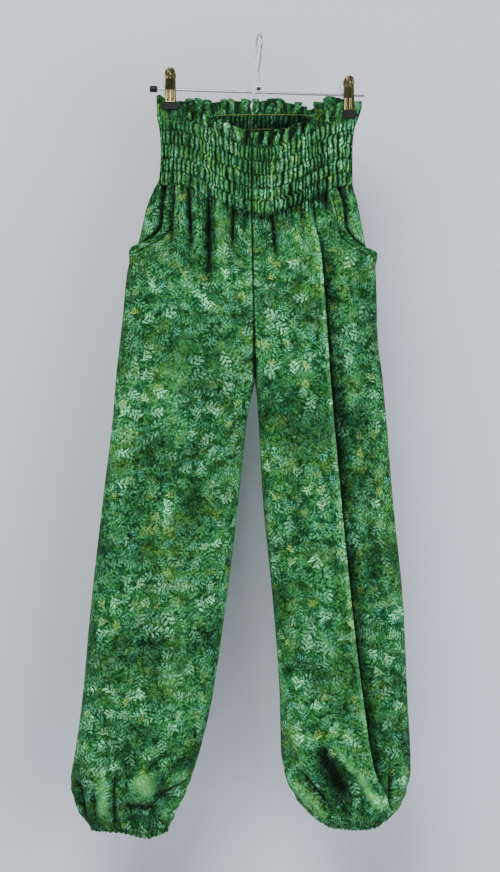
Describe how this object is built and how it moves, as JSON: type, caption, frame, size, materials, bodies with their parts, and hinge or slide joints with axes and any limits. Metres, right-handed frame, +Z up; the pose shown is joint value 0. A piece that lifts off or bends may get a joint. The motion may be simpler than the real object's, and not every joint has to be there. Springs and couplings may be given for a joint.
{
  "type": "harem pants on a clip hanger",
  "caption": "Loose harem pants with a smocked waist, slash pockets and gathered elastic ankles, hung from a wire clip hanger.",
  "frame": {"origin": "top of the inside of the hanger's hook, where it bears on a rail", "axes": "+Z up, +X towards the wearer's left, -Y the way the front faces"},
  "size_m": [0.4748, 0.0927, 1.1207],
  "materials": {
    "printed_cotton": "thin cotton batik, mottled green with pale leaf sprays",
    "pocket_cotton": "the same cotton inside the pockets",
    "antique_brass": "dull antique brass plating on pressed steel",
    "black_rubber": "matt black rubber",
    "chrome": "chromed steel wire",
    "black_plastic": "satin black plastic"
  },
  "bodies": {
    "root": {"smocked_front_right": "printed_cotton", "smocked_front_left": "printed_cotton", "smocked_back_right": "printed_cotton", "smocked_back_left": "printed_cotton", "leg_front_right": "printed_cotton", "leg_front_left": "printed_cotton", "leg_back_right": "printed_cotton", "leg_back_left": "printed_cotton", "pocket_facing_right": "pocket_cotton", "pocket_facing_left": "pocket_cotton", "pocket_band_right": "printed_cotton", "pocket_band_left": "printed_cotton", "ankle_casing_right": "printed_cotton", "ankle_casing_left": "printed_cotton", "clip_right_front_jaw": "antique_brass", "clip_right_back_jaw": "antique_brass", "clip_left_front_jaw": "antique_brass", "clip_left_back_jaw": "antique_brass", "clip_right_front_pad": "black_rubber", "clip_right_back_pad": "black_rubber", "clip_left_front_pad": "black_rubber", "clip_left_back_pad": "black_rubber", "clip_right_spring": "chrome", "clip_left_spring": "chrome", "hanger_hook": "chrome", "hanger_bar": "chrome", "hanger_bridge": "chrome", "hanger_swivel": "black_plastic", "hanger_end_cap": "black_plastic"}
  },
  "joints": []
}
